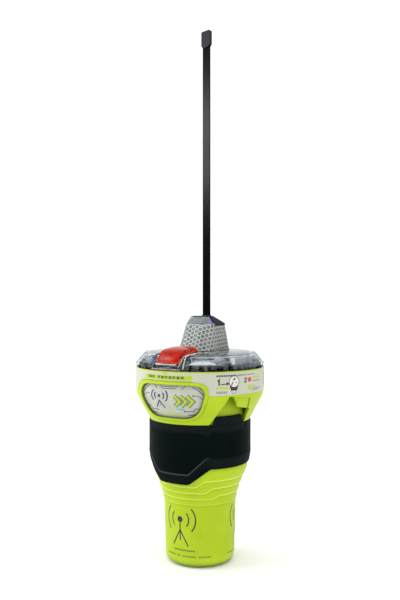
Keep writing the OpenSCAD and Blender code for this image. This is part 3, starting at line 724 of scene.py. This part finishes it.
blue, green = [], []
tracks = [([(27.5, 141.5), (23.5, 145.8), (19, 148.3)], 0.55), ([(25.8, 146.2), (22.8, 148.8)], 0.55),
          ([(28.3, 137.4), (23.5, 141.6), (20.5, 141.6)], 0.45),
          ([(24.6, 131.0), (20.6, 131.0), (18.6, 128.6), (12.5, 128.6)], 0.6),
          ([(22.6, 128.2), (20.2, 125.8), (14.0, 125.8)], 0.6), ([(13.8, 149.2), (11.0, 146.2)], 0.45)]
for sx in (-1, 1):
    for points, width in tracks:
        blue += stroke([(sx * x, z) for x, z in points], width)
    blue += [disc(sx * 20.2, 141.6, 0.6, 12), disc(sx * 12.2, 128.6, 0.6, 12)]
blue += stroke([(-8, 149.3), (-5.6, 146.6), (5.6, 146.6), (8, 149.3)], 0.45)
blue += stroke([(-5.6, 149.3), (-4.4, 148.0), (4.4, 148.0), (5.6, 149.3)], 0.35)
green += stroke([(-9.4, 123.6), (-6.8, 127.0), (6.8, 127.0), (9.4, 123.6)], 0.5)
green += stroke([(-6.4, 123.4), (-4.8, 125.4), (4.8, 125.4), (6.4, 123.4)], 0.45)
print_on("badge_blue", blue, on_badge, INK["ink_blue"], 1.5)
print_on("badge_green", green, on_badge, INK["ink_green"], 1.5)
wide = [[(1.3 * p[0] - 8.5, p[1]) for p in s] for s in mark(0, 138.6, 0.66, 0.95)]
print_on("badge_mark", wide, lambda x, z: on_badge(x, z, 0.1), INK["ink_blue"], 1.5)
for name, width, lift in (("badge_chevron_edges", 3.0, 0.08), ("badge_chevrons", 1.9, 0.13)):
    art = []
    for x in (5.5, 10.5, 15.5):
        art += stroke([(x, 141.4), (x + 4.4, 137.0), (x, 132.6)], width)
    print_on(name, art, lambda x, z: on_badge(x, z, lift),
             INK["ink_green" if name == "badge_chevrons" else "ink_blue"], 1.5)
print_on("badge_dash", [bar(6, 12.5, 129.7, 130.7)], on_badge, INK["ink_cyan"], 1.5)


# ---- reflector film --------------------------------------------------------------------

FOOT = (17.2, -19.6, 32.6, 8.2, 11.0)
SHOULDER = (13.6, -9.0, 27.0, 6.2, 8.6)


def dome_ring(z, inset):
    """Outline of the dome at a height, shrunk by inset, from the rear, and how far round each point is."""
    t = (z - DOME_Z0) / (DOME_Z1 - DOME_Z0)
    a, y0, y1, c, f = [p + (q - p) * t for p, q in zip(FOOT, SHOULDER)]
    a, y0, y1, c, f = a - inset, y0 + inset, y1 - inset, c - inset * 0.55, f - inset * 0.55
    half = [(0, y1), (-(a - c), y1), (-a, y1 - f), (-a, y0 + f), (c - a, y0)]
    outline = half + [(-x, y) for x, y in reversed(half[1:])]
    line = rounded(outline, 3.0, 6)
    k = min(range(len(line)), key=lambda i: abs(line[i].x) - line[i].y)
    line = line[k:] + line[:k] + [line[k]]
    at = [0.0]
    for p, q in zip(line, line[1:]):
        at.append(at[-1] + (q - p).length)
    return line, at


def along(ring, s):
    """Point of a dome outline at distance s from its start, and the direction there."""
    line, at = ring
    s = max(0.0, min(at[-1] - 1e-6, s))
    k = next(i for i in range(len(at) - 1) if at[i + 1] >= s)
    step = line[k + 1] - line[k]
    return line[k] + step * ((s - at[k]) / max(1e-9, at[k + 1] - at[k])), step.normalized()


RINGS = {z: dome_ring(z, FILM_INSET) for z in [170.7 + 0.45 * i for i in range(55)]}
HEIGHTS = sorted(RINGS)
SPAN = 120
skin_rows = []
for z in HEIGHTS:
    ring = RINGS[z]
    skin_rows.append([(p.x, p.y, z) for p in
                      (along(ring, ring[1][-1] * k / SPAN)[0] for k in range(SPAN))])
skin = add("film_skin", *rings(skin_rows), M["film"])
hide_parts("reflector_film")


def wall_line(k):
    """Foot and top of the film at share k of the way round, in SPAN steps from the rear."""
    return [Vector((*along(RINGS[z], RINGS[z][1][-1] * k / SPAN)[0], z))
            for z in (HEIGHTS[0], HEIGHTS[-1])]


def third(a, b, from_a, from_b, way):
    """The flat point at two distances from a and b, to the right of a-b or, with way -1, to its left."""
    d = (b - a).length
    up = (from_a ** 2 - from_b ** 2 + d * d) / (2 * d)
    u = (b - a) / d
    return a + u * up + Vector((u.y, -u.x)) * (way * math.sqrt(max(0, from_a ** 2 - up * up)))


def unrolled():
    """The film's wall rolled out flat from its front line: flat points, points on the dome, triangles."""
    flat, solid, tris = [], [], []
    for way in (1, -1):
        foot, top = wall_line(SPAN // 2)
        low, high = Vector((0, 0)), Vector((0, (top - foot).length))
        for k in range(1, SPAN // 2 + 1):
            base = len(flat)
            flat += [low, high]
            solid += [foot, top]
            foot2, top2 = wall_line(SPAN // 2 + way * k)
            low2 = third(low, high, (foot2 - foot).length, (foot2 - top).length, way)
            high2 = third(low2, high, (top2 - foot2).length, (top2 - top).length, way)
            flat += [low2, high2]
            solid += [foot2, top2]
            tris += [(base, base + 2, base + 1), (base + 1, base + 2, base + 3)]
            foot, top, low, high = foot2, top2, low2, high2
    return flat, solid, tris


def film_cells():
    """Six-sided cells in upright columns on the flat film, wrapped round the dome. Cells past an edge
    of the film keep only the corners that lie on it."""
    flat, solid, tris = unrolled()
    sheet = BVHTree.FromPolygons([(p.x, p.y, 0) for p in flat], tris)

    def wrapped(x, y):
        """Point on the dome of a point of the flat film, a hair outside it, or None past its edges."""
        hit, _, tri, _ = sheet.ray_cast(Vector((x, y, 1)), Vector((0, 0, -1)))
        if hit is None:
            return None
        a, b, c = tris[tri]
        corners = [flat[i].to_3d() for i in (a, b, c)] + [solid[i] for i in (a, b, c)]
        p = barycentric_transform(hit, *corners)
        out = (solid[b] - solid[a]).cross(solid[c] - solid[a]).normalized()
        return p + out * (0.2 if out.dot(p - Vector((0, 6, p.z))) > 0 else -0.2)

    pitch, reach = 3.65, 1.78
    verts, faces = [], []
    for column in range(-24, 25):
        for row in range(-6, 14):
            x = column * pitch * 0.866
            y = (row + (0.5 if column % 2 else 0)) * pitch
            turns = [math.radians(60 * j) for j in range(6)]
            ends = [wrapped(x + reach * math.cos(a), y + reach * math.sin(a)) for a in turns]
            ends = [p for p in ends if p]
            if len(ends) > 2:
                faces.append(tuple(range(len(verts), len(verts) + len(ends))))
                verts += ends
    return verts, faces


add("film_cells", *film_cells(), shader("film_cell", (0.185, 0.20, 0.20), 0.4, tone=0.5, tone_scale=620,
                                        Specular_IOR_Level=0.2), smooth=1)


def fold_over(name, s0, s1, t0, t1, color, y_max=1.9, inset=FILM_INSET):
    """Part of the film folded over the dome's front shoulder: s is the share round it, t how far up."""
    low = [(-13.6, y_max), (-13.6, -0.4), (-7.4, -9.0), (7.4, -9.0), (13.6, -0.4), (13.6, y_max)]
    high = [(-8.4, y_max), (-8.4, 1.6), (-7.4, -2.4), (7.4, -2.4), (8.4, 1.6), (8.4, y_max)]
    rows = []
    for i in range(9):
        t = t0 + (t1 - t0) * i / 8
        row = []
        for j in range(41):
            s = (s0 + (s1 - s0) * j / 40) * 5
            k = min(4, int(s))
            a = Vector(low[k]).lerp(Vector(low[k + 1]), s - k)
            b = Vector(high[k]).lerp(Vector(high[k + 1]), s - k)
            p = a.lerp(b, t)
            p = p * (1 - inset / 13)
            row.append((p.x, p.y, 195 - inset * 0.6 + (6.5 - inset * 0.35) * t))
        rows.append(row)
    return add(name, *rings(rows, closed_ring=False), color)


fold_grey = shader("fold_grey", (0.17, 0.19, 0.20), 0.4, tone=0.25, tone_scale=220)
fold_blue = shader("fold_blue", (0.13, 0.15, 0.36), 0.4, tone=0.2, tone_scale=220)
fold_over("film_fold", 0.02, 0.98, 0.0, 1.0, fold_grey)
fold_over("film_fold_line", 0.2, 0.8, 0.0, 0.12, shader("fold_dark", (0.035, 0.045, 0.09), 0.4, tone=0.3),
          inset=0.68)
# painted reflections: blue strips along the folded film's edges
for i, (a, b) in enumerate(((0.72, 0.86), (0.14, 0.28))):
    fold_over("film_blue_reflection_%d" % i, a, b, 0.0, 1.0, fold_blue, inset=0.66)


# ---- lens edges: beads that stand for the lines the lens draws along its own corners, as painted highlights, reflections and shade -----

def wire(name, points, radius, material, closed=False, body="housing"):
    """A thin round bead through points in millimetres; radius is a number or one for each point."""
    pts = [Vector(p) for p in points]
    n = len(pts)
    rows = []
    for i, p in enumerate(pts):
        a = pts[(i - 1) % n] if closed or i else p
        b = pts[(i + 1) % n] if closed or i < n - 1 else p
        t = (b - a).normalized()
        u = t.cross(Vector((0.02, 0.03, 1))).normalized()
        w = t.cross(u)
        r = radius[i] if isinstance(radius, list) else radius
        turns = [math.pi * j / 4 for j in range(8)]
        rows.append([p + r * (math.cos(g) * u + math.sin(g) * w) for g in turns])
    return add(name, *rings(rows, closed_rows=closed), material, body)


# pale and white beads are painted highlights, blue and dark beads painted reflections and shade along the
# lens's corners
edge_blue = shader("edge_blue", (0.10, 0.12, 0.27), 0.3, tone=0.3)
edge_dark = shader("edge_dark", (0.02, 0.03, 0.05), 0.3, tone=0.3)
edge_pale = shader("edge_pale", (0.42, 0.45, 0.44), 0.3, tone=0.35, tone_scale=300, Specular_IOR_Level=0.2)
edge_white = shader("edge_white", (0.78, 0.80, 0.78), 0.3, tone=0.3, tone_scale=300, Specular_IOR_Level=0.3)
for i, (a, b) in enumerate(((40, 118), (-92, -38))):
    wire("lens_shoulder_%d" % i, [polar(a + (b - a) * k / 30, 45.2, 171.6) for k in range(31)], 0.3,
         edge_blue)
root = dome_ring(173.2, 0.5)[0][:-1]
wire("dome_root", [(p.x, p.y, 173.2) for p in root], 0.35, edge_dark, closed=True)
for i, sx in enumerate((-1, 1)):
    path = [(12.9, -26, 172.3), (12.9, -40, 171.9), (12.9, -43.6, 171.3), (12.8, -46.6, 169.0),
            (12.6, -49.2, 166.4), (12.4, -51.2, 163.6)]
    wire("pocket_rim_%d" % i, [(sx * x, y, z) for x, y, z in path], 0.42, edge_pale if sx > 0 else edge_blue)
    wire("pocket_line_%d" % i, [(sx * (x + 1.2), y - 0.1, z - 0.15) for x, y, z in path], 0.3, edge_dark)
    wall_edge = [(15.4, -49.8, 161.8), (14.9, -47.8, 165.4), (14.6, -45.6, 168.9), (14.4, -43.2, 171.5),
                 (14.4, -38, 172.2), (14.4, -30, 172.4)]
    wire("pocket_wall_%d" % i, [(sx * x, y, z) for x, y, z in wall_edge], 0.5,
         edge_white if sx > 0 else edge_blue)
wire("pocket_sill", [polar(az, 51.3, 165.05) for az in range(-11, 12, 2)], 0.65, edge_pale)
# painted reflection of the red cover, in pink, on the lens over the deck
red_reflection = shader("red_reflection", (0.50, 0.30, 0.30), 0.3, tone=0.4, tone_scale=300, Specular_IOR_Level=0.2)
wire("pocket_red_reflection", [polar(az, 52.5, 161.4) for az in range(-14, 15, 2)], 0.65, red_reflection)


# ---- stand-ins under the lens for the bright and dark shapes that it refracts -----------

def curtain(name, az0, az1, edges, material):
    """An upright strip inside the lens; edges gives its radius, foot and top at a share of the way."""
    rows = []
    steps = max(8, int(abs(az1 - az0) / 2))
    for k in range(steps + 1):
        r, low, high = edges(k / steps)
        rows.append([polar(az0 + (az1 - az0) * k / steps, r, z) for z in (low, (low + high) / 2, high)])
    return add(name, *rings(rows, closed_ring=False), material)


well_dark = shader("well_dark", (0.02, 0.03, 0.055), 0.3, tone=0.5, tone_scale=420, Specular_IOR_Level=0.3)
# painted light: pale strips with a glow of their own, standing for bright light the lens refracts
well_pale_glow = shader("well_pale_glow", (0.84, 0.86, 0.85), 0.25, tone=0.2, tone_scale=260, Specular_IOR_Level=0.3,
                   Emission_Color=(0.85, 0.9, 0.92, 1), Emission_Strength=0.5)
well_grey = shader("well_grey", (0.74, 0.78, 0.82), 0.35, tone=0.25, tone_scale=180,
                   shades=((0.34, 0.38, 0.44), (0.92, 0.94, 0.94)))
# painted shade: the wall darkens towards its foot
wall = curtain("well_wall", 22, 338, lambda t: (41.4, 163.6, 170.6), well_grey)
draw_shade(wall, lambda p: 0.2 + 0.55 * (p.z - 163.6) / 7)
# painted light: the black deck ring is drawn lighter from 50° to 70° round from the front and beyond, on both
# sides
deck = frame["nodes"]["deck_ring"].data
for v, shade in zip(deck.vertices, deck.attributes["shade"].data):
    shade.value = 0.5 + 0.45 * max(0, min(1, (abs(around(v.co)) - 50) / 20))
for i, sx in enumerate((-1, 1)):
    # painted shade: dark strips under the dome's foot, on both sides
    curtain("well_shadow_%d" % i, sx * 24, sx * 47,
            lambda t: (42.6, 168.0 + 0.5 * t, 170.2 - 0.6 * t), well_dark)
    # the right-hand face is painted light, glowing pale
    curtain("well_face_%d" % i, sx * 21, sx * 48,
            lambda t: (45.4, 164.6, 164.9 + 2.6 * math.sin(math.pi * t) ** 0.6),
            well_pale_glow if sx > 0 else well_grey)
    curtain("well_foot_%d" % i, sx * 17, sx * 52, lambda t: (47.2, 161.9, 164.4 - 0.8 * t), well_dark)
    curtain("module_side_%d" % i, sx * 60, sx * 65, lambda t: (42.4, 166.2, 169.6), well_dark)
    # painted light: the pale post glows
    curtain("module_post_%d" % i, sx * 66, sx * 71, lambda t: (43.4, 162.6, 169.2), well_pale_glow)
    curtain("module_line_%d" % i, sx * 49, sx * 59, lambda t: (43.2, 165.2 + 2.6 * t, 165.8 + 2.6 * t),
            edge_blue)


# ---- switch cover ----------------------------------------------------------------------

def cover_rows():
    """Sections across the cover, from its hinge to its lip: y, top height, side depth, half width."""
    line = [(-20.4, 175.9, 0.8, 9.3), (-21.2, 177.0, 1.2, 9.9), (-22.6, 177.6, 2.0, 10.3),
            (-24.2, 177.7, 2.35, 10.4), (-26, 177.75, 2.7, 10.5), (-30, 177.5, 3.2, 10.6),
            (-34, 177.1, 3.4, 10.65), (-38, 176.6, 3.5, 10.65), (-41.5, 175.7, 3.6, 10.6),
            (-44.4, 174.1, 3.3, 10.5), (-46.6, 171.8, 2.4, 10.2), (-48.2, 169.0, 1.3, 9.8),
            (-49.2, 166.6, 0.4, 9.2)]
    bow = math.pi / 2 * 0.93
    rows = []
    for y, z, deep, hw in line:
        row = []
        for j in range(29):
            t = -1 + 2 * j / 28
            x = hw * math.sin(bow * max(-1, min(1, t * 1.12))) / math.sin(bow)
            over = max(0, (abs(t) - 0.74) / 0.26)
            crown = 0.9 * (abs(x) / hw) ** 2.6
            drop = crown + deep * over ** 1.5
            row.append((x, y + 0.9 * (abs(x) / hw) ** 4 * (y < -43), z - drop))
        rows.append(row)
    return rows


def clear_of_lug(verts, faces):
    """The cover's faces without those over the lens's hinge lug, where it has a notch."""
    return [f for f in faces if not all(abs(verts[i][0]) < 4.7 and verts[i][1] > -24.3 for i in f)]


def cover_shade(p):
    """Two painted highlights: one above the lip and one across the top."""
    lip = 0.3 * max(0, 1 - abs(p.z - 169.6) / 2.2) * max(0, 1 - abs(p.x + 0.5) / 7)
    return 0.5 + lip + 0.26 * max(0, 1 - abs(p.y + 27 + 0.9 * p.x) / 4) * (p.y > -36)


cover_mesh = rings(cover_rows(), closed_ring=False)
cover = add("cover_shell", cover_mesh[0], clear_of_lug(*cover_mesh), M["red"], "cover")
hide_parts("switch_cover")
draw_shade(cover, cover_shade)
rows = cover_rows()
path = [row[0] for row in rows] + rows[-1][3:-3:3] + [row[-1] for row in reversed(rows)]
widths = [max(0.62, 1.35 - 0.28 * min(i, len(path) - 1 - i)) for i in range(len(path))]
rim_red = shader("cover_rim", (0.72, 0.035, 0.004), 0.22, tone=0.25, tone_scale=300, Coat_Weight=0.06,
                 Specular_IOR_Level=0.1)
wire("cover_rim", path, widths, rim_red, body="cover")
thick = cover.modifiers.new("wall", "SOLIDIFY")
thick.thickness, thick.offset = 0.0016, -1
sub = cover.modifiers.new("smooth", "SUBSURF")
sub.levels = sub.render_levels = 2


# ---- camera, light and floor -----------------------------------------------------------

cam = bpy.data.cameras.new("camera")
camera = bpy.data.objects.new("camera", cam)
scene.collection.objects.link(camera)
scene.camera = camera
turn = math.radians(32)
distance, eye_z = 0.62, 0.2207
camera.location = (distance * math.sin(turn), -distance * math.cos(turn), eye_z)
camera.rotation_euler = (math.radians(90), 0, turn)
cam.lens = 44.49
cam.sensor_width = 36
cam.shift_y = -0.011667
cam.clip_start, cam.clip_end = 0.01, 20

floor_mesh = bpy.data.meshes.new("floor")
floor_mesh.from_pydata([(-6, -6, 0), (6, -6, 0), (6, 6, 0), (-6, 6, 0)], [], [(0, 1, 2, 3)])
floor = bpy.data.objects.new("floor", floor_mesh)
scene.collection.objects.link(floor)
floor_mesh.materials.append(shader("floor", (0.93, 0.93, 0.93), 0.95, tone=0.006, bump=0.02,
                                     Specular_IOR_Level=0.1))

world = bpy.data.worlds.new("studio")
scene.world = world
world.use_nodes = True
world.node_tree.nodes["Background"].inputs["Color"].default_value = (1, 1, 1, 1)
world.node_tree.nodes["Background"].inputs["Strength"].default_value = 1.12


def area(name, where, size, power, target=(0, 0, 0.15)):
    """A square light at where, turned to its target; metres and watts."""
    light = bpy.data.lights.new(name, "AREA")
    light.shape, light.size, light.energy = "SQUARE", size, power
    o = bpy.data.objects.new(name, light)
    scene.collection.objects.link(o)
    o.location = where
    o.rotation_euler = (Vector(target) - Vector(where)).to_track_quat("-Z", "Y").to_euler()


area("key", (-1.3, -0.8, 1.1), 0.9, 13)
area("fill", (1.5, -0.5, 0.7), 0.8, 2.5)
area("top", (0, 0.2, 1.9), 0.9, 3.5)
area("side", (-1.3, -0.3, 0.3), 0.6, 2.2)

# a softbox that only the antenna's glossy blade mirrors
shiny = bpy.data.collections.new("shiny")
for name in ("antenna_blade", "antenna_tip", "antenna_root"):
    shiny.objects.link(frame["nodes"][name])
area("glint", (-0.66, -1.06, 0.607), 0.25, 14, (0, 0.01, 0.35))
bpy.data.objects["glint"].light_linking.receiver_collection = shiny
scene.view_settings.view_transform = "Standard"
